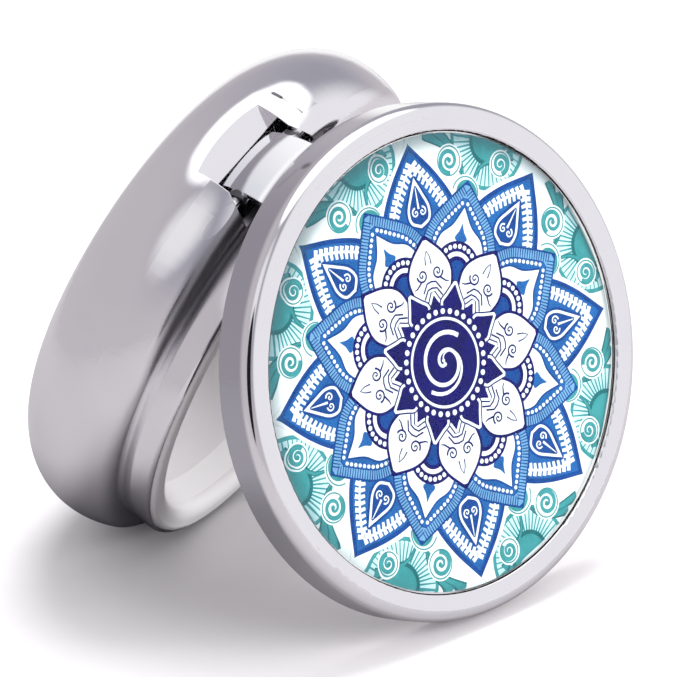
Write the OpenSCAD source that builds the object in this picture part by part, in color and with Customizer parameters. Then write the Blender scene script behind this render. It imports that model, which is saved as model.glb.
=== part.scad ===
// Round pocket pill box: a bulging metal base with a drop-in tray, and a hinged lid with a
// printed disc under a clear dome. The base stands on z = 0, its mouth faces +Z, the hinge
// is at +Y and the front is at -Y. Lid parts are drawn closed, then swung open by lid_open.

/* [Box] */
// Widest diameter, across the bulge of the base
box_d = 50; // [49:0.5:54]
// Thickness of the metal of the base and of the lid
metal = 0.8; // [0.7:0.05:0.85]
// Angle at which the lid stands open
lid_open = 43.5; // [0:0.5:100]

/* [Base] */
// Radius of the lower half of the bulge, which is also the height of its widest line
bulge_r = 8; // [7.8:0.1:8.2]
// Radius of the flatter arc above the widest line
bulge_top_r = 9.4; // [9.2:0.1:9.6]
// Angle of that arc at which the shoulder begins to turn inwards
shoulder_a = 22; // [20:1:24]
// Radius of the shoulder's rounding
shoulder_r = 2; // [1.8:0.1:2]
// Outer diameter of the lip, at the top of the neck
lip_d = 44.7; // [44.5:0.1:44.8]
// Height of the lip's upper edge
lip_z = 15.9; // [15.7:0.1:16]
// Radius of the arc by which the neck narrows from the lip down to the shoulder
neck_arc_r = 12; // [10:1:20]

/* [Tray] */
// Height of the top of the tray's white rim
rim_z = 16.2; // [16.1:0.05:16.3]
// Radius of the rolled inner side of the rim
rim_roll = 1.3; // [1.1:0.1:1.4]
// Inner radius of the tray's wall at its middle height
tray_r = 18.6; // [18:0.1:18.7]
// Thickness of the tray's wall and floor
tray_wall = 0.8; // [0.7:0.05:0.9]
// Height of the tray's floor
floor_z = 2.2; // [2:0.1:3]
// Radius of the fillet between the floor and the wall
floor_fillet = 2.5; // [1.5:0.1:3]

/* [Hinge] */
// Distance of the hinge pin from the box's axis
pin_y = 23.4; // [23.3:0.05:23.5]
// Height of the hinge pin
pin_z = 10.8; // [10.7:0.05:10.9]
// Diameter of the hinge pin
pin_d = 1.2; // [1:0.1:1.2]
// Radial clearance of the leaf on the pin
pin_clear = 0.05; // [0.03:0.01:0.06]
// Width of the notch for the leaf, between the ears of the base
notch_w = 9.2; // [9:0.1:9.6]
// Width of the hinge leaf at the lid's skirt
leaf_w = 8.2; // [8:0.1:8.4]
// Width of the leaf's free end
leaf_end_w = 7.4; // [7:0.1:7.6]
// Gap between the leaf's knuckle and each ear of the base
leaf_gap = 0.15; // [0.1:0.01:0.2]
// Thickness of the leaf
leaf_t = 0.6; // [0.5:0.05:0.7]
// Height of the leaf's free end with the lid closed
leaf_z = 9.1; // [9.1:0.1:9.3]

/* [Lid] */
// Outer diameter of the lid
lid_d = 47.5; // [47.4:0.1:47.8]
// Height of the skirt's lower edge with the lid closed
skirt_z = 14.3; // [14.2:0.05:14.4]
// Height of the highest line of the bezel
crest_z = 18.6; // [18.5:0.1:18.8]
// Radius of the bezel's outer rounding
bezel_r = 1.1; // [0.9:0.1:1.2]
// Radius of the round window for the print
window_r = 21.1; // [20.5:0.1:21.2]
// Height of the upper face of the lid's plate
plate_z = 17.45; // [17.4:0.05:17.5]
// Radius of the mirror inside the lid
mirror_r = 18.3; // [15:0.1:18.5]

/* [Hidden] */
$fn = 160;
eps = 0.01;
box_r = box_d / 2;
bulge_x = box_r - bulge_r;
bulge_top_x = box_r - bulge_top_r;
shoulder_x = bulge_top_x + (bulge_top_r - shoulder_r) * cos(shoulder_a);
shoulder_z = bulge_r + (bulge_top_r - shoulder_r) * sin(shoulder_a) + shoulder_r;
lip_r = lip_d / 2;
lip_edge = 0.5;
seat_z = 15;
seat_r = lip_r - 0.33;
throat_r = lip_r - 0.35 - metal;
rim_r = seat_r - 0.05;
rim_round = 0.6;
lug_w = 14.4;
lug_y = 19.75;
lug_z = 4.4;
ramp_start = [25.6, 4.57];
ramp_end = [23.32, 8.4];
notch_back_y = 21;
notch_flare = 0.9;
notch_flare_z = 10;
notch_top_z = shoulder_z - metal;
notch_clear_y = lip_r - 0.2;
knuckle_r = 1;
tab_r = lip_r + 0.12;
tab_z = 16.3;
lid_r = lid_d / 2;
skirt_r = lid_r - metal;
plate_low_z = plate_z - metal;
snap_r = 0.6;
snap_z = 14.75;
snap_tip_r = lip_r + 0.15;
adhesive_t = 0.1;
print_t = 0.25;
dome_air = 0.1;
dome_t = 0.6;
dome_round = 0.5;
disc_r = window_r - 0.12;
pad_t = 0.2;
mirror_t = 1.1;
mirror_bevel = 0.25;

// Rectangle of a half section that starts on the axis at height z
module square_from(z, size) {
    translate([0, z]) square(size);
}

// Filled half section of the base up to its shoulder, smaller by inset all round
module bulge_section(inset = 0) {
    arc_top_z = bulge_r + (bulge_top_r - inset) * sin(shoulder_a);
    intersection() {
        translate([bulge_x, bulge_r]) circle(r = bulge_r - inset);
        square([box_r, bulge_r]);
    }
    intersection() {
        translate([bulge_top_x, bulge_r]) circle(r = bulge_top_r - inset);
        square_from(bulge_r, [box_r, arc_top_z - bulge_r]);
    }
    translate([shoulder_x, shoulder_z - shoulder_r]) circle(r = shoulder_r - inset);
    square_from(inset, [bulge_x, bulge_r - inset]);
    square_from(bulge_r - eps, [shoulder_x, shoulder_z - inset - bulge_r + eps]);
}

// Filled half section of the neck, which widens upwards to a lip with a round edge
module neck_section() {
    lip_edge_z = lip_z - lip_edge;
    intersection() {
        translate([lip_r - neck_arc_r, lip_edge_z]) circle(r = neck_arc_r);
        square_from(bulge_r, [lip_r, lip_edge_z - bulge_r]);
    }
    translate([lip_r - lip_edge, lip_edge_z]) circle(r = lip_edge);
    square_from(bulge_r, [lip_r - lip_edge, lip_z - bulge_r]);
}

module base_solid() {
    rotate_extrude() {
        bulge_section();
        neck_section();
    }
}

module base_hollow() {
    rotate_extrude() {
        bulge_section(metal);
        square_from(bulge_r, [throat_r, seat_z - bulge_r + eps]);
        square_from(seat_z, [seat_r, rim_z]);
    }
}

// Box along the hinge, centred on x, from a section drawn in y and z
module along_hinge(width) {
    rotate([90, 0, 90])
        translate([0, 0, -width / 2])
            linear_extrude(width) children();
}

module hinge_lugs() {
    intersection() {
        rotate_extrude() bulge_section();
        translate([-lug_w / 2, lug_y, lug_z])
            cube([lug_w, box_r - lug_y, notch_top_z + metal - lug_z]);
    }
}

// Prism that runs along y from the box's axis, from a section drawn in x and z
module towards_hinge() {
    translate([0, box_d, 0])
        rotate([90, 0, 0])
            linear_extrude(box_d) children();
}

// Cut for the leaf between the ears, which is wider at the shoulder than lower down
module hinge_notch() {
    low_x = notch_w / 2;
    high_x = low_x + notch_flare;
    top_z = shoulder_z + 0.3;
    intersection() {
        along_hinge(2 * high_x)
            polygon([
                ramp_start, ramp_end, [22.6, 8.5], [21.7, 9.1], [notch_back_y, 10.1],
                [notch_back_y, notch_top_z], [notch_clear_y, notch_top_z],
                [notch_clear_y, top_z], [ramp_start[0], top_z]
            ]);
        towards_hinge()
            polygon([
                [-low_x, 0], [low_x, 0], [low_x, notch_flare_z], [high_x, notch_top_z],
                [high_x, top_z + 1], [-high_x, top_z + 1], [-high_x, notch_top_z],
                [-low_x, notch_flare_z]
            ]);
    }
}

module pin_bore(radius, width) {
    translate([-width / 2, pin_y, pin_z])
        rotate([0, 90, 0])
            cylinder(r = radius, h = width);
}

module base_shell() {
    color("#b4b3ba")
    difference() {
        union() {
            difference() {
                base_solid();
                base_hollow();
            }
            hinge_lugs();
        }
        hinge_notch();
        pin_bore(pin_d / 2, box_d);
    }
}

// Half section of the tray's rim: a roll inside, a small round outside and a step on the seat
module rim_section() {
    rim_x = rim_r - rim_round;
    roll_x = rim_r - rim_roll;
    difference() {
        union() {
            translate([rim_x, rim_z - rim_round]) circle(r = rim_round);
            translate([roll_x, rim_z - rim_roll]) circle(r = rim_roll);
            translate([roll_x, seat_z]) square([rim_x - roll_x, rim_z - seat_z]);
            translate([roll_x, seat_z]) square([rim_r - roll_x, rim_z - rim_round - seat_z]);
        }
        translate([throat_r - 0.05, 0]) square([box_r, seat_z]);
    }
}

// Half section of the tray's inside below the rim
module tray_hollow_section(grow = 0) {
    roll_x = rim_r - rim_roll;
    wall_top_z = rim_z - rim_roll;
    polygon([
        [0, floor_z - grow], [tray_r - floor_fillet, floor_z - grow],
        [tray_r - floor_fillet, floor_z + floor_fillet], [tray_r + grow, floor_z + floor_fillet],
        [tray_r + 0.1 + grow, 12.6], [roll_x - rim_roll + grow, wall_top_z],
        [roll_x - rim_roll + grow, rim_z + 1 - grow], [0, rim_z + 1 - grow]
    ]);
    intersection() {
        translate([tray_r - floor_fillet, floor_z + floor_fillet])
            circle(r = floor_fillet + grow);
        translate([0, floor_z - grow]) square([tray_r + grow, floor_fillet + grow]);
    }
}

module pill_tray() {
    color("#f4f4f3")
    rotate_extrude() {
        rim_section();
        difference() {
            intersection() {
                tray_hollow_section(tray_wall);
                square([seat_r, seat_z + eps]);
            }
            tray_hollow_section();
        }
    }
}

// The pin's ends are cut to the bulge, so they lie flush in its surface
module hinge_pin() {
    color("#8f8f95")
    intersection() {
        rotate_extrude() bulge_section();
        pin_bore(pin_d / 2, box_d);
    }
}

// Arc of the leaf's sheet as a half section
module leaf_section() {
    difference() {
        translate([bulge_top_x, bulge_r]) circle(r = bulge_top_r);
        translate([bulge_top_x, bulge_r]) circle(r = bulge_top_r - leaf_t);
        square([bulge_top_x, box_d]);
    }
}

module leaf_sheet() {
    intersection() {
        rotate_extrude() leaf_section();
        towards_hinge()
            polygon([
                [-leaf_end_w / 2, leaf_z], [leaf_end_w / 2, leaf_z],
                [leaf_w / 2, skirt_z], [-leaf_w / 2, skirt_z]
            ]);
    }
}

module leaf_knuckle() {
    intersection() {
        rotate_extrude()
            intersection() {
                translate([bulge_top_x, bulge_r]) circle(r = bulge_top_r);
                translate([0, bulge_r]) square([box_r, box_r]);
            }
        pin_bore(knuckle_r, notch_w - 2 * leaf_gap);
    }
}

module leaf_tab() {
    intersection() {
        difference() {
            cylinder(r = skirt_r - 0.02, h = tab_z);
            translate([0, 0, -eps]) cylinder(r = tab_r, h = tab_z + 2 * eps);
        }
        translate([-leaf_w / 2, 0, skirt_z - 0.5])
            cube([leaf_w, box_d, tab_z]);
    }
}

// Swings a lid part from closed to open about the hinge pin
module opened() {
    translate([0, pin_y, pin_z])
        rotate([-lid_open, 0, 0])
            translate([0, -pin_y, -pin_z])
                children();
}

module hinge_leaf() {
    color("#c9c8ce")
    opened()
        difference() {
            union() {
                leaf_sheet();
                leaf_knuckle();
                leaf_tab();
            }
            pin_bore(pin_d / 2 + pin_clear, box_d);
            translate([0, 0, notch_top_z]) cylinder(r = tab_r, h = tab_z);
        }
}

// Half section of the lid: skirt, rounded bezel and plate
module lid_section() {
    bezel_x = lid_r - bezel_r;
    inner_r = 0.35;
    inner_z = crest_z - 0.18;
    translate([bezel_x, crest_z - bezel_r]) circle(r = bezel_r);
    translate([window_r + inner_r, inner_z - inner_r]) circle(r = inner_r);
    polygon([
        [skirt_r, skirt_z], [lid_r - 0.15, skirt_z], [lid_r, skirt_z + 0.15],
        [lid_r, crest_z - bezel_r], [bezel_x, crest_z], [window_r + inner_r, inner_z],
        [window_r, inner_z - inner_r], [window_r, plate_z], [0, plate_z],
        [0, plate_low_z], [skirt_r, plate_low_z]
    ]);
}

// Small beads inside the skirt that snap over the lip
module snap_beads() {
    for (a = [-50, 0, 50])
        rotate([0, 0, a])
            translate([0, -snap_tip_r - snap_r, snap_z])
                intersection() {
                    sphere(r = snap_r);
                    translate([-snap_r, -snap_r + 0.42, -snap_r]) cube(2 * snap_r);
                }
}

module lid_shell() {
    color("#bdbcc2")
    opened() {
        rotate_extrude() lid_section();
        snap_beads();
    }
}

// Flat disc of the lid stack, from height z
module lid_disc(radius, z, thickness) {
    opened()
        translate([0, 0, z]) cylinder(r = radius, h = thickness);
}

module print_adhesive() {
    color("#e9e4d6") lid_disc(disc_r - 0.4, plate_z, adhesive_t);
}

module print_disc() {
    color("#2a6fc0") lid_disc(disc_r, plate_z + adhesive_t, print_t);
}

module clear_dome() {
    dome_z = plate_z + adhesive_t + print_t + dome_air;
    color("#dff1f4", 0.35)
    opened()
        rotate_extrude() {
            translate([0, dome_z]) square([disc_r - dome_round, dome_t]);
            intersection() {
                translate([disc_r - dome_round, dome_z + dome_t - dome_round])
                    circle(r = dome_round);
                translate([0, dome_z]) square([disc_r, dome_t]);
            }
        }
}

module mirror_pad() {
    color("#5d5d60") lid_disc(mirror_r - 1, plate_low_z - pad_t, pad_t);
}

module mirror() {
    mirror_z = plate_low_z - pad_t - mirror_t;
    color("#d7dde2")
    opened()
        rotate_extrude()
            polygon([
                [0, mirror_z], [mirror_r - mirror_bevel * 2, mirror_z],
                [mirror_r, mirror_z + mirror_bevel], [mirror_r, mirror_z + mirror_t],
                [0, mirror_z + mirror_t]
            ]);
}

base_shell();
pill_tray();
hinge_pin();
hinge_leaf();
lid_shell();
print_adhesive();
print_disc();
clear_dome();
mirror_pad();
mirror();
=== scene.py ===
# Looks of the round pocket pill box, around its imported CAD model.
import cmath
import math

import bmesh
import bpy
from mathutils import Matrix, Vector
from mathutils.geometry import tessellate_polygon


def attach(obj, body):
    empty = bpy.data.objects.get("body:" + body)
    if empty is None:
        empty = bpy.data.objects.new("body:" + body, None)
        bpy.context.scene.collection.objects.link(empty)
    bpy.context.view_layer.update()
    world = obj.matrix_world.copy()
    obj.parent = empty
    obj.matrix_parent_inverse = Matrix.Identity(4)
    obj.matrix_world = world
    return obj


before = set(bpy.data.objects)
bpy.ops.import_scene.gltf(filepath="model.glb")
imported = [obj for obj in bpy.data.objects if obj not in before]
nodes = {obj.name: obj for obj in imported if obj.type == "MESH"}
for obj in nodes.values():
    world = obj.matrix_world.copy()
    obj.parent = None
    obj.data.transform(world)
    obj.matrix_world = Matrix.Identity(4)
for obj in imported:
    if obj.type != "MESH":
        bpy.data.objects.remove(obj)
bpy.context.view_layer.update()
scene = bpy.context.scene
LID_OPEN = math.radians(43.5)
PIN = Vector((0, 0.0234, 0.0108))
CAMERA_PLACE = (-0.2410, 0.4429, 0.1435)
FOCAL_LENGTH = 294.6


# ---------------------------------------------------------------- camera
def look(right, up, back, place):
    m = Matrix.Identity(4)
    for column, v in enumerate((right, up, back)):
        v = Vector(v).normalized()
        for row in range(3):
            m[row][column] = v[row]
    for row in range(3):
        m[row][3] = place[row]
    return m


back = Vector((-0.4678, 0.8513, 0.2376)).normalized()
side = Vector((0.5739, 0.0881, 0.8142))
side = (side - side.dot(back) * back).normalized()
camera = bpy.data.objects.new("camera", bpy.data.cameras.new("camera"))
scene.collection.objects.link(camera)
camera.matrix_world = look(side, back.cross(side), back, CAMERA_PLACE)
camera.data.sensor_width = 36
camera.data.lens = FOCAL_LENGTH
camera.data.clip_start = 0.01
camera.data.clip_end = 20
scene.camera = camera
scene.view_settings.view_transform = "Standard"

# The open box stands on its edges, so the floor is tilted in the row's frame.
UP = Vector((0.4229, 0.8195, -0.3867)).normalized()
RIGHT = side
FRONT = RIGHT.cross(UP).normalized()
if FRONT.dot(back) < 0:
    FRONT = -FRONT
FLOOR = -0.02688
FLOOR_RADIUS = 0.6
LIGHT_AIM = Vector((0, 0.02, 0.02))
FLAG_PLACE = (-0.0245, 0.0285, 0.0232)
FLAG_HALF = (0.0033, 0.0115)


def direction(azimuth, elevation):
    """Azimuth 0 is the camera's side of the floor and 90 its right."""
    a, e = math.radians(azimuth), math.radians(elevation)
    return math.cos(e) * (math.cos(a) * FRONT + math.sin(a) * RIGHT) + math.sin(e) * UP


# ---------------------------------------------------------------- node helpers
class Graph:
    def __init__(self, tree):
        self.tree = tree
        tree.nodes.clear()

    def add(self, kind, inputs=None, **settings):
        node = self.tree.nodes.new(kind)
        for key, value in settings.items():
            setattr(node, key, value)
        for key, value in (inputs or {}).items():
            if isinstance(value, bpy.types.NodeSocket):
                self.tree.links.new(value, node.inputs[key])
            else:
                node.inputs[key].default_value = value
        return node

    def math(self, operation, a, b=0.0, clamp=False):
        return self.add("ShaderNodeMath", {0: a, 1: b}, operation=operation, use_clamp=clamp).outputs[0]

    def vector(self, operation, a, b=(0, 0, 0)):
        node = self.add("ShaderNodeVectorMath", {0: a, 1: b}, operation=operation)
        number = operation in ("DOT_PRODUCT", "DISTANCE", "LENGTH")
        return node.outputs["Value" if number else "Vector"]

    def place(self):
        return self.add("ShaderNodeTexCoord").outputs["Object"]

    def noise(self, place, scale, detail=2.0, roughness=0.5):
        inputs = {"Vector": place, "Scale": scale, "Detail": detail, "Roughness": roughness}
        return self.add("ShaderNodeTexNoise", inputs).outputs[0]

    def bump(self, height, strength, distance, **more):
        inputs = {"Height": height, "Strength": strength, "Distance": distance, **more}
        return self.add("ShaderNodeBump", inputs).outputs[0]

    def ramp(self, value, low, high, to_low=0.0, to_high=1.0):
        inputs = {"Value": value, "From Min": low, "From Max": high, "To Min": to_low, "To Max": to_high}
        return self.add("ShaderNodeMapRange", inputs, interpolation_type="SMOOTHSTEP").outputs[0]

    def mix(self, factor, a, b):
        node = self.add("ShaderNodeMix", data_type="RGBA")
        for key, value in ((0, factor), (6, a), (7, b)):
            if isinstance(value, bpy.types.NodeSocket):
                self.tree.links.new(value, node.inputs[key])
            else:
                node.inputs[key].default_value = value
        return node.outputs[2]

    def out(self, shader, kind="ShaderNodeOutputMaterial"):
        self.tree.links.new(shader, self.add(kind).inputs["Surface"])


def srgb(text):
    value = [int(text[i:i + 2], 16) / 255 for i in (1, 3, 5)]
    return [v / 12.92 if v <= 0.04045 else ((v + 0.055) / 1.055) ** 2.4 for v in value] + [1.0]


def graph_material(name):
    m = bpy.data.materials.new(name)
    m.use_nodes = True
    return m, Graph(m.node_tree)


# ---------------------------------------------------------------- studio
world = bpy.data.worlds.new("studio")
scene.world = world
world.use_nodes = True
g = Graph(world.node_tree)
ray = g.add("ShaderNodeTexCoord").outputs["Generated"]


def cap(centre, inner, outer):
    """1 inside a cone of directions about centre, falling to 0 at its outer angle."""
    dot = g.vector("DOT_PRODUCT", ray, tuple(centre))
    return g.ramp(dot, math.cos(math.radians(outer)), math.cos(math.radians(inner)))


# What the chrome reflects: greys at the sides, a pale wall, and a soft box overhead
height = g.vector("DOT_PRODUCT", ray, tuple(UP))
colour = g.mix(cap(direction(-90, 0), 40, 110), srgb("#a09fa9"), srgb("#bfb9bf"))
colour = g.mix(g.ramp(height, -0.1, 0.4), srgb("#c2bcc2"), colour)
colour = g.mix(cap(direction(85, 10), 44, 66), colour, srgb("#edecf0"))
colour = g.mix(cap(direction(-15, 43), 4, 26), colour, srgb("#ebeaed"))
colour = g.mix(cap(direction(180, -12), 6, 20), colour, (1, 1, 1, 1))
colour = g.mix(cap(direction(150, 77), 31, 36), colour, (1.3, 1.3, 1.32, 1))
# What lights the matt surfaces, and the white that the camera sees
soft = g.mix(g.ramp(height, -0.2, 0.95), (0.38, 0.375, 0.38, 1), (0.95, 0.95, 0.95, 1))
light_path = g.add("ShaderNodeLightPath")
colour = g.mix(light_path.outputs["Is Diffuse Ray"], colour, soft)
colour = g.mix(light_path.outputs["Is Camera Ray"], colour, (1, 1, 1, 1))
g.out(g.add("ShaderNodeBackground", {"Color": colour, "Strength": 1.0}).outputs[0], "ShaderNodeOutputWorld")


def facing(d, place):
    """A matrix whose Z axis is d, with X level with the floor."""
    level = UP.cross(d)
    return look(level, d.cross(level), d, place)


def area(name, azimuth, elevation, distance, size, power):
    """A round light that only diffuse surfaces see. The world gives the reflections."""
    data = bpy.data.lights.new(name, "AREA")
    data.shape = "DISK"
    data.size = size
    data.energy = power
    light = bpy.data.objects.new(name, data)
    scene.collection.objects.link(light)
    d = direction(azimuth, elevation)
    light.matrix_world = facing(d, LIGHT_AIM + distance * d)
    light.visible_camera = False
    light.visible_glossy = False
    light.visible_transmission = False


area("overhead", 172, 70, 0.5, 0.3, 1.8)
area("key", 55, 30, 0.5, 0.3, 1.1)
area("fill", 100, 0, 0.4, 0.12, 1.5)

floor_mesh = bpy.data.meshes.new("floor")
bm = bmesh.new()
bmesh.ops.create_circle(bm, cap_ends=True, radius=FLOOR_RADIUS, segments=96)
bm.to_mesh(floor_mesh)
bm.free()
floor = bpy.data.objects.new("floor", floor_mesh)
scene.collection.objects.link(floor)
floor.matrix_world = look(RIGHT, -FRONT, UP, FLOOR * UP)
# The camera sees a pale floor. Other rays see it a darker mid tone, with a painted shadow under the box. It is
# clear from below, and the camera and reflections don't see it far out.
material, g = graph_material("floor")
light_path = g.add("ShaderNodeLightPath")
spot = g.place()
grit = g.noise(spot, 400.0, 3.0)
reach = g.vector("DISTANCE", spot, (0.005, -0.003, 0))
pale = g.mix(grit, (0.87, 0.85, 0.87, 1), (0.89, 0.87, 0.89, 1))
# Painted shadow: the floor darkens within 8 to 30 mm of a point under the box
floor_grey_with_painted_shadow = g.mix(g.ramp(reach, 0.008, 0.030), (0.12, 0.115, 0.13, 1), (0.40, 0.38, 0.40, 1))
shade = g.mix(light_path.outputs["Is Camera Ray"], floor_grey_with_painted_shadow, pale)
white = g.add("ShaderNodeBsdfDiffuse", {"Color": shade}).outputs[0]
clear = g.add("ShaderNodeBsdfTransparent").outputs[0]
seen = g.math("MAXIMUM", light_path.outputs["Is Glossy Ray"], light_path.outputs["Is Camera Ray"])
far = g.math("MULTIPLY", g.ramp(reach, 0.10, 0.26), seen)
behind = g.math("MAXIMUM", g.add("ShaderNodeNewGeometry").outputs["Backfacing"], far)
g.out(g.add("ShaderNodeMixShader", {0: behind, 1: white, 2: clear}).outputs[0])
floor_mesh.materials.append(material)


# A black flag that only reflections see gives the lid's left edge its dark line.
flag_mesh = bpy.data.meshes.new("flag")
bm = bmesh.new()
bmesh.ops.create_grid(bm, x_segments=1, y_segments=1, size=1)
bm.to_mesh(flag_mesh)
bm.free()
flag = bpy.data.objects.new("flag", flag_mesh)
scene.collection.objects.link(flag)
toward = direction(-17, 25)
flag.matrix_world = facing(toward, FLAG_PLACE) @ Matrix.Diagonal((*FLAG_HALF, 1, 1))
flag.visible_camera = False
flag.visible_diffuse = False
flag.visible_transmission = False
flag.visible_shadow = False
material, g = graph_material("flag_black")
place = g.place()
black = g.mix(g.noise(place, 40.0), (0.010, 0.010, 0.011, 1), (0.020, 0.020, 0.022, 1))
felt = g.add("ShaderNodeBsdfDiffuse", {"Color": black}).outputs[0]
fade = g.ramp(g.vector("LENGTH", place), 0.75, 1.0)
clear = g.add("ShaderNodeBsdfTransparent").outputs[0]
g.out(g.add("ShaderNodeMixShader", {0: fade, 1: felt, 2: clear}).outputs[0])
flag_mesh.materials.append(material)


# ---------------------------------------------------------------- materials
def principled(name, colour, roughness, metallic, grain, grain_depth, vary):
    """A surface with fine noise in its colour, its roughness and its relief."""
    m, g = graph_material(name)
    noise = g.noise(g.place(), grain, 4.0, 0.6)
    dark = [c * (1 - vary) for c in colour[:3]] + [1]
    inputs = {
        "Base Color": g.mix(noise, dark, colour),
        "Roughness": g.ramp(noise, 0.3, 0.7, roughness * (1 - vary), roughness * (1 + vary)),
        "Metallic": metallic,
        "Normal": g.bump(noise, grain_depth, 0.0002),
    }
    g.out(g.add("ShaderNodeBsdfPrincipled", inputs).outputs[0])
    return m


def paint(obj, material):
    obj.data.materials.clear()
    obj.data.materials.append(material)


def mapped(g, place):
    """Millimetres in the closed lid's frame, from a place in the row frame."""
    turn = Matrix.Rotation(LID_OPEN, 3, "X")
    shift = 1000 * (PIN - turn @ PIN)
    return g.add("ShaderNodeMapping", {
        "Vector": place, "Location": tuple(shift), "Rotation": (LID_OPEN, 0, 0), "Scale": (1000, 1000, 1000),
    }).outputs[0]


def away(g, place, a, b):
    """Distance of a place from the straight line between two points."""
    a, b = Vector(a), Vector(b)
    along = b - a
    rel = g.vector("SUBTRACT", place, tuple(a))
    t = g.vector("DOT_PRODUCT", rel, tuple(along / along.length_squared))
    t = g.math("ADD", t, 0.0, clamp=True)
    foot = g.add("ShaderNodeVectorMath", {0: tuple(along), 3: t}, operation="SCALE").outputs[0]
    return g.vector("DISTANCE", rel, foot)


CHROME = (0.90, 0.89, 0.915), (0.95, 0.945, 0.96)


def lid_painted_shade(g, place, tone):
    """Painted shade: the lid's interior is dark. Painted dark reflection: the lid's outer wall is greyer on the
    side by the hinge's left end.
    """
    level = g.vector("DOT_PRODUCT", place, (0, 0, 1))
    radius = g.vector("LENGTH", g.vector("MULTIPLY", place, (1, 1, 0)))
    # Painted shade in the lid's interior
    hollow_painted_shade = g.math("MULTIPLY", g.ramp(level, 16.8, 17.0, 1.0, 0.0), g.ramp(radius, 23.0, 23.4, 1.0, 0.0))
    tone = g.mix(hollow_painted_shade, tone, (0.16, 0.155, 0.17, 1))
    # Painted dark reflection on the outer wall by the hinge's left end
    across = g.vector("DOT_PRODUCT", place, (-0.75, 0.66, 0))
    skirt_painted_reflection = g.math("MULTIPLY", g.ramp(level, 17.2, 17.8, 1.0, 0.0), g.ramp(radius, 23.3, 23.6))
    skirt_painted_reflection = g.math("MULTIPLY", skirt_painted_reflection, g.ramp(across, 10.0, 21.0, 0.0, 0.9))
    return g.mix(skirt_painted_reflection, tone, (0.46, 0.46, 0.50, 1))


def neck_painted_shade(g, place):
    """Painted shade: a dark, dull band along the neck, 12.4 mm up, on the left side, wide by the hinge and gone 60
    degrees away.
    """
    level = g.vector("DOT_PRODUCT", place, (0, 0, 1000))
    turned = g.vector("NORMALIZE", g.vector("MULTIPLY", place, (1, 1, 0)))
    half = g.math("MULTIPLY_ADD", g.vector("DOT_PRODUCT", turned, (0, 1, 0)), 3.4)
    half.node.inputs[2].default_value = -1.7
    off = g.math("ABSOLUTE", g.math("SUBTRACT", level, 12.4))
    left = g.ramp(g.vector("DOT_PRODUCT", turned, (-1, 0, 0)), -0.1, 0.1)
    return g.math("MULTIPLY", left, g.ramp(g.math("SUBTRACT", off, half), -0.7, 0.3, 0.9, 0.0))


def plated(name, marks=(), lid=False, neck=False, round_edges=0.0, shine=1.0):
    """Bright chrome with faint polishing haze, rounded edges and small dark marks. Some marks, and the darker
    parts that the lid and neck flags add, are painted shade.
    Each mark is a line between two points, the distances at which it is full and gone, and
    its strength. Lengths are millimetres in the lid's materials and metres in the others."""
    m, g = graph_material(name)
    place = g.place()
    haze = g.noise(place, 180.0, 3.0, 0.55)
    fine = g.noise(place, 2200.0)
    low, high = ([c * shine for c in tint] + [1] for tint in CHROME)
    tone = g.mix(haze, low, high)
    rough = g.ramp(haze, 0.35, 0.75, 0.07, 0.11)
    if lid:
        place = mapped(g, place)
        tone = lid_painted_shade(g, place, tone)
    if neck:
        # Painted shade along the neck: darker and rougher
        neck_shade_mask = neck_painted_shade(g, place)
        tone = g.mix(neck_shade_mask, tone, (0.30, 0.29, 0.32, 1))
        rough = g.math("ADD", rough, g.math("MULTIPLY", neck_shade_mask, 0.3))
    for line, full, gone, strength in marks:
        dark = g.math("MULTIPLY", g.ramp(away(g, place, *line), full, gone, 1.0, 0.0), strength)
        tone = g.mix(dark, tone, (0.07, 0.07, 0.08, 1))
        rough = g.math("ADD", rough, g.math("MULTIPLY", dark, 0.25))
    more = {}
    if round_edges:
        # The pin's curved ends keep their own normals
        unit = 1.0 if lid else 0.001
        pin_axis = [(x * unit, 23.4 * unit, 10.8 * unit) for x in (-12, 12)]
        off_pin = g.ramp(away(g, place, *pin_axis), 0.9 * unit, 1.0 * unit)
        eased = g.add("ShaderNodeBevel", {"Radius": round_edges}, samples=6).outputs[0]
        sharp = g.add("ShaderNodeNewGeometry").outputs["Normal"]
        more["Normal"] = g.mix(off_pin, sharp, eased)
    g.out(g.add("ShaderNodeBsdfPrincipled", {
        "Base Color": tone, "Roughness": rough, "Metallic": 1.0,
        "Normal": g.bump(fine, 0.004, 0.0001, **more),
    }).outputs[0])
    return m


base_chrome = plated("base_chrome", [
    (((0.0068, 0.0240, 0.0068), (0.0068, 0.0240, 0.0076)), 0.00012, 0.00030, 0.9),
    (((0.0068, 0.0240, 0.0076), (0.0068, 0.0238, 0.0100)), 0.00004, 0.00015, 0.8),
    (((0.0076, 0.0235, 0.0104), (0.0086, 0.0232, 0.0102)), 0.00002, 0.00050, 0.35),
], neck=True, round_edges=0.00012)
lid_chrome = plated("lid_chrome", [
    (((0, 23.7, 16.6), (0.1, 23.7, 16.8)), 0.1, 0.65, 0.65),
    (((-2.6, 23.6, 15.2), (-0.6, 23.7, 15.9)), 0.05, 0.5, 0.15),
], lid=True)
# The leaf's marks are painted shade at the knuckle's two ends, close round the pin
leaf_chrome = plated("leaf_chrome", [
    (((-6, 23.4, 10.8), (-4.4, 23.4, 10.8)), 1.0, 1.1, 0.9),
    (((4.4, 23.4, 10.8), (6, 23.4, 10.8)), 1.0, 1.1, 0.9),
], lid=True, round_edges=0.00012, shine=0.84)
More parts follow.
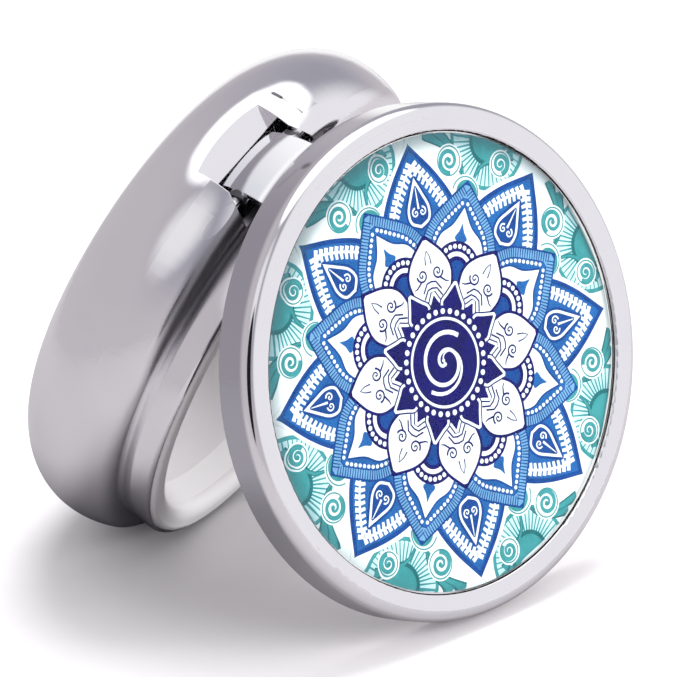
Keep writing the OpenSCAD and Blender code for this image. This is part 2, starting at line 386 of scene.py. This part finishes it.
# Painted shade: the pin is darker along its middle, where the leaf's knuckle holds it
pin_chrome = plated("pin_chrome", [(((-0.0042, 0.0234, 0.0108), (0.0042, 0.0234, 0.0108)), 0.0008, 0.0010, 0.7)])
plastic = principled("tray_plastic", srgb("#f4f2f3"), 0.3, 0.0, 400.0, 0.001, 0.02)
glue = principled("adhesive_film", srgb("#e9e4d6"), 0.6, 0.0, 900.0, 0.1, 0.08)
foam = principled("foam", srgb("#5d5d60"), 0.9, 0.0, 3000.0, 0.5, 0.3)
paper = principled("print_white", srgb("#fbfbf7"), 0.5, 0.0, 1500.0, 0.02, 0.02)
silver = principled("mirror_silver", (0.93, 0.94, 0.94, 1), 0.01, 1.0, 500.0, 0.0, 0.01)

glass, g = graph_material("clear_cover")
body = g.add("ShaderNodeBsdfPrincipled", {
    "Base Color": (0.98, 1.0, 1.0, 1), "Roughness": 0.0, "IOR": 1.22, "Transmission Weight": 1.0,
    "Normal": g.bump(g.noise(g.place(), 60.0), 0.01, 0.0002),
}).outputs[0]
clear = g.add("ShaderNodeBsdfTransparent", {"Color": (0.98, 0.99, 0.99, 1)}).outputs[0]
light_path = g.add("ShaderNodeLightPath")
passing = g.math("MAXIMUM", light_path.outputs["Is Shadow Ray"], light_path.outputs["Is Diffuse Ray"])
g.out(g.add("ShaderNodeMixShader", {0: passing, 1: body, 2: clear}).outputs[0])

for name, material in (
    ("base_shell", base_chrome), ("lid_shell", lid_chrome), ("hinge_leaf", leaf_chrome), ("hinge_pin", pin_chrome),
    ("pill_tray", plastic), ("print_adhesive", glue), ("print_disc", paper), ("clear_dome", glass),
    ("mirror_pad", foam), ("mirror", silver),
):
    paint(nodes[name], material)


# ---------------------------------------------------------------- the printed design
# Thin layers of ink in the gap between the print and the clear cover, drawn in millimetres
# in the closed lid's frame. A point is a complex number, and each higher level covers the one below.
INK_LOW = 17.803
INK_STEP = 0.0023
EDGE = 20.9
TURN = 17
EIGHTH = 45


def ink(name, colour, deep):
    """Printed ink, mottled like absorbent paper and darker where the cover's edge shades it."""
    m, g = graph_material("ink_" + name)
    place = g.place()
    blot = g.noise(place, 0.7, 5.0, 0.65)
    fibre = g.noise(place, 9.0)
    tone = g.mix(g.ramp(blot, 0.35, 0.7), srgb(colour), srgb(deep))
    radius = g.vector("DISTANCE", g.vector("MULTIPLY", place, (1, 1, 0)), (0.0, -0.8, 0))
    tone = g.mix(g.ramp(radius, 19.2, 21.6, 0.0, 0.75), tone, srgb("#33505a"))
    g.out(g.add("ShaderNodeBsdfPrincipled", {
        "Base Color": tone, "Roughness": 0.55, "Specular IOR Level": 0.05,
        "Normal": g.bump(fibre, 0.03, 0.00005),
    }).outputs[0])
    return m


INKS = {
    "white": ("#f2f8f9", "#e9f2f4"), "navy": ("#0c0a64", "#08064e"), "royal": ("#0e4790", "#0a3a7c"),
    "blue": ("#1f63a8", "#195695"), "sky": ("#74a8d0", "#6498c2"), "teal": ("#43999c", "#35898c"),
    "deep": ("#247074", "#1c6266"), "aqua": ("#cdebee", "#b8dfe3"),
}
sheets = {name: bmesh.new() for name in INKS}


def slab(name, level, rim, strip=None):
    """A closed slab of ink. rim is its outline; a ribbon's outline is filled across as a strip instead."""
    bm = sheets[name]
    rim = [p * min(1, EDGE / max(abs(p), 0.001)) for p in rim]
    top_z = INK_LOW + INK_STEP * (level + 1)
    low = [bm.verts.new((p.real, p.imag, INK_LOW)) for p in rim]
    top = [bm.verts.new((p.real, p.imag, top_z)) for p in rim]
    n = len(rim)
    if strip is None:
        flat = [Vector((p.real, p.imag, 0)) for p in rim]
        faces = tessellate_polygon([flat])
    elif strip == "closed":
        half = n // 2
        faces = [(i, (i + 1) % half, half + (i + 1) % half, half + i) for i in range(half)]
    else:
        faces = [(i, i + 1, n - 2 - i, n - 1 - i) for i in range(n // 2 - 1)]
    for f in faces:
        bm.faces.new([top[i] for i in f])
        bm.faces.new([low[i] for i in reversed(f)])
    if strip == "closed":
        half = n // 2
        walls = [(i, (i + 1) % half) for i in range(half)]
        walls += [(half + (i + 1) % half, half + i) for i in range(half)]
    else:
        walls = [(i, (i + 1) % n) for i in range(n)]
    for i, j in walls:
        bm.faces.new((low[i], low[j], top[j], top[i]))


def ribbon(name, level, path, wide, tip=None, closed=False):
    """A stroke along path. Its width runs from wide to tip."""
    tip = wide if tip is None else tip
    n = len(path)
    left, right = [], []
    for i, p in enumerate(path):
        after = path[(i + 1) % n] if closed else path[min(i + 1, n - 1)]
        before = path[i - 1] if closed else path[max(i - 1, 0)]
        d = after - before
        d = d / max(abs(d), 1e-6) * 1j * (wide + (tip - wide) * i / max(n - 1, 1)) / 2
        left.append(p + d)
        right.append(p - d)
    if closed:
        slab(name, level, left + right, "closed")
    else:
        slab(name, level, left + right[::-1], "open")


def polar(r, degrees):
    return cmath.rect(r, math.radians(degrees))


def disc(name, level, centre, r, n=32):
    slab(name, level, [centre + polar(r, 360 * i / n) for i in range(n)])


def ring(name, level, centre, r, wide, n=72):
    ribbon(name, level, [centre + polar(r, 360 * i / n) for i in range(n)], wide, closed=True)


def smooth(points, n=7):
    """A curve through the points."""
    out = []
    ext = [2 * points[0] - points[1]] + points + [2 * points[-1] - points[-2]]
    for i in range(1, len(ext) - 2):
        a, b, c, d = ext[i - 1:i + 3]
        for k in range(n):
            t = k / n
            cubic = (2 * a - 5 * b + 4 * c - d) * t * t + (3 * b - a - 3 * c + d) * t ** 3
            out.append(0.5 * (2 * b + (c - a) * t + cubic))
    return out + [points[-1]]


def side_line(profile, at, sign, inset=0.0, n=7):
    """One edge of a petal whose profile is (radius, half width) from base to tip, moved inwards by inset."""
    line = smooth([complex(r, w) for r, w in profile], n)
    if inset:
        moved = []
        for i, p in enumerate(line):
            d = line[min(i + 1, len(line) - 1)] - line[max(i - 1, 0)]
            moved.append(p - 1j * d / max(abs(d), 1e-6) * inset)
        line = [p for p in moved if p.imag > 0.02]
    turn = polar(1, at)
    return [(p if sign > 0 else p.conjugate()) * turn for p in line]


def petal(name, level, profile, at, inset=0.0):
    up = side_line(profile, at, 1, inset)
    down = side_line(profile, at, -1, inset)
    if abs(up[-1] - down[-1]) < 1e-6:
        down = down[:-1]
    if abs(up[0] - down[0]) < 1e-6:
        down = down[1:]
    slab(name, level, up + down[::-1])


def spaced(line, gap, start=0.0):
    """Points along a line at equal distances, each with the line's direction."""
    out, left = [], start
    for a, b in zip(line, line[1:]):
        length = abs(b - a)
        while left <= length and length > 0:
            out.append((a + (b - a) * left / length, (b - a) / length))
            left += gap
        left -= length
    return out


def spiral(name, level, centre, r, turns, start, wide, hand=1, tip=0.5):
    n = int(30 * turns)
    path = [centre + polar(r * (1 - i / n) ** 0.8 + 0.02, start + hand * 360 * turns * i / n) for i in range(n)]
    ribbon(name, level, path, wide, wide * tip)
    disc(name, level, path[-1], wide * 0.5, 10)


OUTER = [(8.5, 4.4), (12.0, 4.9), (14.6, 4.3), (17.4, 2.6), (20.4, 0.0)]
DROP = [(12.6, 0.0), (13.2, 1.15), (14.4, 1.35), (15.8, 0.75), (17.3, 0.0)]
MIDDLE = [(7.0, 3.6), (9.8, 4.5), (12.4, 3.9), (14.6, 2.1), (16.7, 0.0)]
FLAME = [(7.6, 2.3), (9.6, 2.95), (11.4, 2.5), (12.6, 1.1), (14.3, 0.0)]
KITE = [(10.9, 0.0), (11.4, 0.75), (12.1, 0.3), (12.9, 0.0)]
WHITE = [(4.6, 1.3), (6.4, 2.2), (8.3, 2.65), (10.0, 1.9), (11.8, 0.0)]
OGEE = [(4.6, 0.9), (5.4, 1.25), (6.2, 0.75), (7.4, 0.0)]

disc("white", 0, 0, EDGE, 160)
for k in range(8):
    gap = TURN + EIGHTH * (k + 0.5)

    # Teal waves, fans and curls at the rim, between the outer petals
    fan = polar(20.9, gap - 5)
    slab("teal", 1, [fan + polar(4.6, gap + 90 + 180 * i / 24) for i in range(25)])
    slab("aqua", 2, [fan + polar(4.2, gap + 90 + 180 * i / 24) for i in range(25)])
    for i in range(23):
        d = polar(1, gap + 94 + 7.5 * i)
        ribbon("teal", 3, [fan + 2.2 * d, fan + 4.3 * d], 0.20, 0.12)
    slab("deep", 4, [fan + polar(2.3, gap + 90 + 180 * i / 24) for i in range(25)])
    slab("teal", 5, [fan + polar(1.9, gap + 90 + 180 * i / 24) for i in range(25)])
    for turn, low, high in ((10, 15.6, 20.9), (13.5, 16.8, 20.9), (-11.5, 16.0, 20.6)):
        bends = (low, 0.1), ((low + high) / 2, 0.35), (high - 1, 0.8), (high, 1.25)
        path = [polar(r, gap + turn * part) for r, part in bends]
        ribbon("deep", 4, smooth(path), 0.15, 1.0)
        ribbon("teal", 5, smooth(path), 0.05, 0.62)
    for r, turn, size, hand in ((15.6, 0.5, 1.35, 1), (18.4, 8.2, 1.15, -1), (19.3, -11.0, 0.9, 1)):
        centre = polar(r, gap + turn)
        disc("white", 6, centre, size + 0.42, 36)
        ring("teal", 7, centre, size + 0.2, 0.14, 40)
        spiral("teal", 7, centre, size, 1.7, gap + 200, 0.5, hand, 0.45)

for k in range(8):
    at = TURN + EIGHTH * k
    # Outer petals with combed borders and a teardrop
    petal("white", 8, [(r, w + 0.5) for r, w in OUTER[:-1]] + [(20.9, 0.0)], at)
    petal("royal", 9, OUTER, at)
    petal("blue", 10, OUTER, at, 0.45)
    for sign in (1, -1):
        line = side_line(OUTER, at, sign, 0.75)
        for p, d in spaced(line, 0.62, 2.4):
            across = 1j * d * (-1 if sign > 0 else 1)
            ribbon("white", 11, [p - 0.05 * across, p + 0.55 * across + 0.12 * d, p + 1.15 * across], 0.46, 0.30)
        inner = side_line(OUTER, at, sign, 1.25)
        ribbon("white", 11, inner[len(inner) // 3:], 0.24)
    petal("royal", 12, DROP, at, -0.25)
    petal("white", 13, DROP, at)
    petal("royal", 14, DROP, at, 0.26)
    for sign in (1, -1):
        spiral("white", 15, polar(14.1, at) + 0.42j * sign * polar(1, at), 0.42, 1.2, at, 0.17, sign)
    ribbon("white", 15, [polar(14.4, at), polar(16.4, at)], 0.24, 0.06)

for k in range(8):
    at = TURN + EIGHTH * (k + 0.5)
    # Middle petals: hatched edge, a line of beads and a white flame
    petal("royal", 16, MIDDLE, at, -0.12)
    petal("sky", 17, MIDDLE, at, 0.06)
    for sign in (1, -1):
        line = side_line(MIDDLE, at, sign, 0.05)
        for p, d in spaced(line, 0.30, 0.2):
            across = 1j * d * (-1 if sign > 0 else 1)
            ribbon("royal", 18, [p, p + 0.85 * across], 0.13, 0.09)
    petal("royal", 19, MIDDLE, at, 0.88)
    petal("blue", 20, MIDDLE, at, 0.98)
    for sign in (1, -1):
        line = side_line(MIDDLE, at, sign, 1.22)
        for p, d in spaced(line, 0.52, 0.1):
            disc("white", 21, p, 0.19, 10)
    petal("royal", 22, FLAME, at, -0.18)
    petal("white", 23, FLAME, at)
    petal("blue", 24, KITE, at)
    # Scallop with a dotted band
    centre = polar(8.3, at)
    disc("navy", 25, centre, 2.9, 48)
    for i in range(19):
        disc("white", 26, centre + polar(2.42, at - 126 + 14 * i), 0.235, 10)
    ring("white", 26, centre, 1.72, 0.42)
    disc("royal", 26, centre + polar(0.2, at), 0.95, 24)

for k in range(8):
    at = TURN + EIGHTH * k
    # White petals with curls and chevrons
    petal("navy", 27, WHITE, at, -0.16)
    petal("white", 28, WHITE, at, 0.12)
    turn = polar(1, at)
    for sign in (1, -1):
        spiral("navy", 29, (8.35 + 0.95j * sign) * turn, 0.62, 1.5, at + 90 * sign, 0.2, sign, 0.6)
        for line, wide, tip in (
            (((7.75, 1.2), (7.3, 1.75), (7.2, 2.1)), 0.2, 0.1),
            (((9.2, 0.35), (9.9, 0.28), (10.5, 0.0)), 0.15, 0.08),
        ):
            ribbon("navy", 29, [complex(x, y * sign) * turn for x, y in line], wide, tip)
    for r in (7.0, 7.6):
        bends = (-0.9, 1.1), (-0.1, 0.55), (0, 0), (-0.1, -0.55), (-0.9, -1.1)
        ribbon("navy", 29, [complex(r + x, y) * turn for x, y in bends], 0.17)

for k in range(16):
    at = TURN + EIGHTH / 2 * k
    # Small leaves round the centre
    small = OGEE if k % 2 else [(4.6, 0.7), (5.2, 0.8), (5.8, 0.4), (6.5, 0.0)]
    level = 33 if k % 2 else 30
    petal("navy", level, small, at, -0.34)
    petal("white", level + 1, small, at, -0.2)
    petal("navy", level + 2, small, at, 0.06)

disc("navy", 36, 0, 5.25, 72)
for k in range(34):
    disc("white", 37, polar(4.72, 360 * k / 34), 0.27, 12)
ring("white", 37, 0, 4.05, 0.26)
disc("navy", 38, 0, 3.85, 64)
spiral("white", 39, 0, 2.9, 1.6, TURN, 0.42, 1, 0.7)
spiral("white", 39, 0, 3.1, 0.75, TURN + 180, 0.36, 1, 0.3)

lid_turn = Matrix.Rotation(-LID_OPEN, 4, "X")
lid_place = Matrix.Translation(PIN) @ lid_turn @ Matrix.Translation(-PIN) @ Matrix.Scale(0.001, 4)
for name, bm in sheets.items():
    bmesh.ops.recalc_face_normals(bm, faces=bm.faces)
    data = bpy.data.meshes.new("ink_" + name)
    bm.to_mesh(data)
    bm.free()
    data.materials.append(ink(name, *INKS[name]))
    piece = bpy.data.objects.new("ink_" + name, data)
    scene.collection.objects.link(piece)
    piece.matrix_world = lid_place
    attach(piece, "lid")
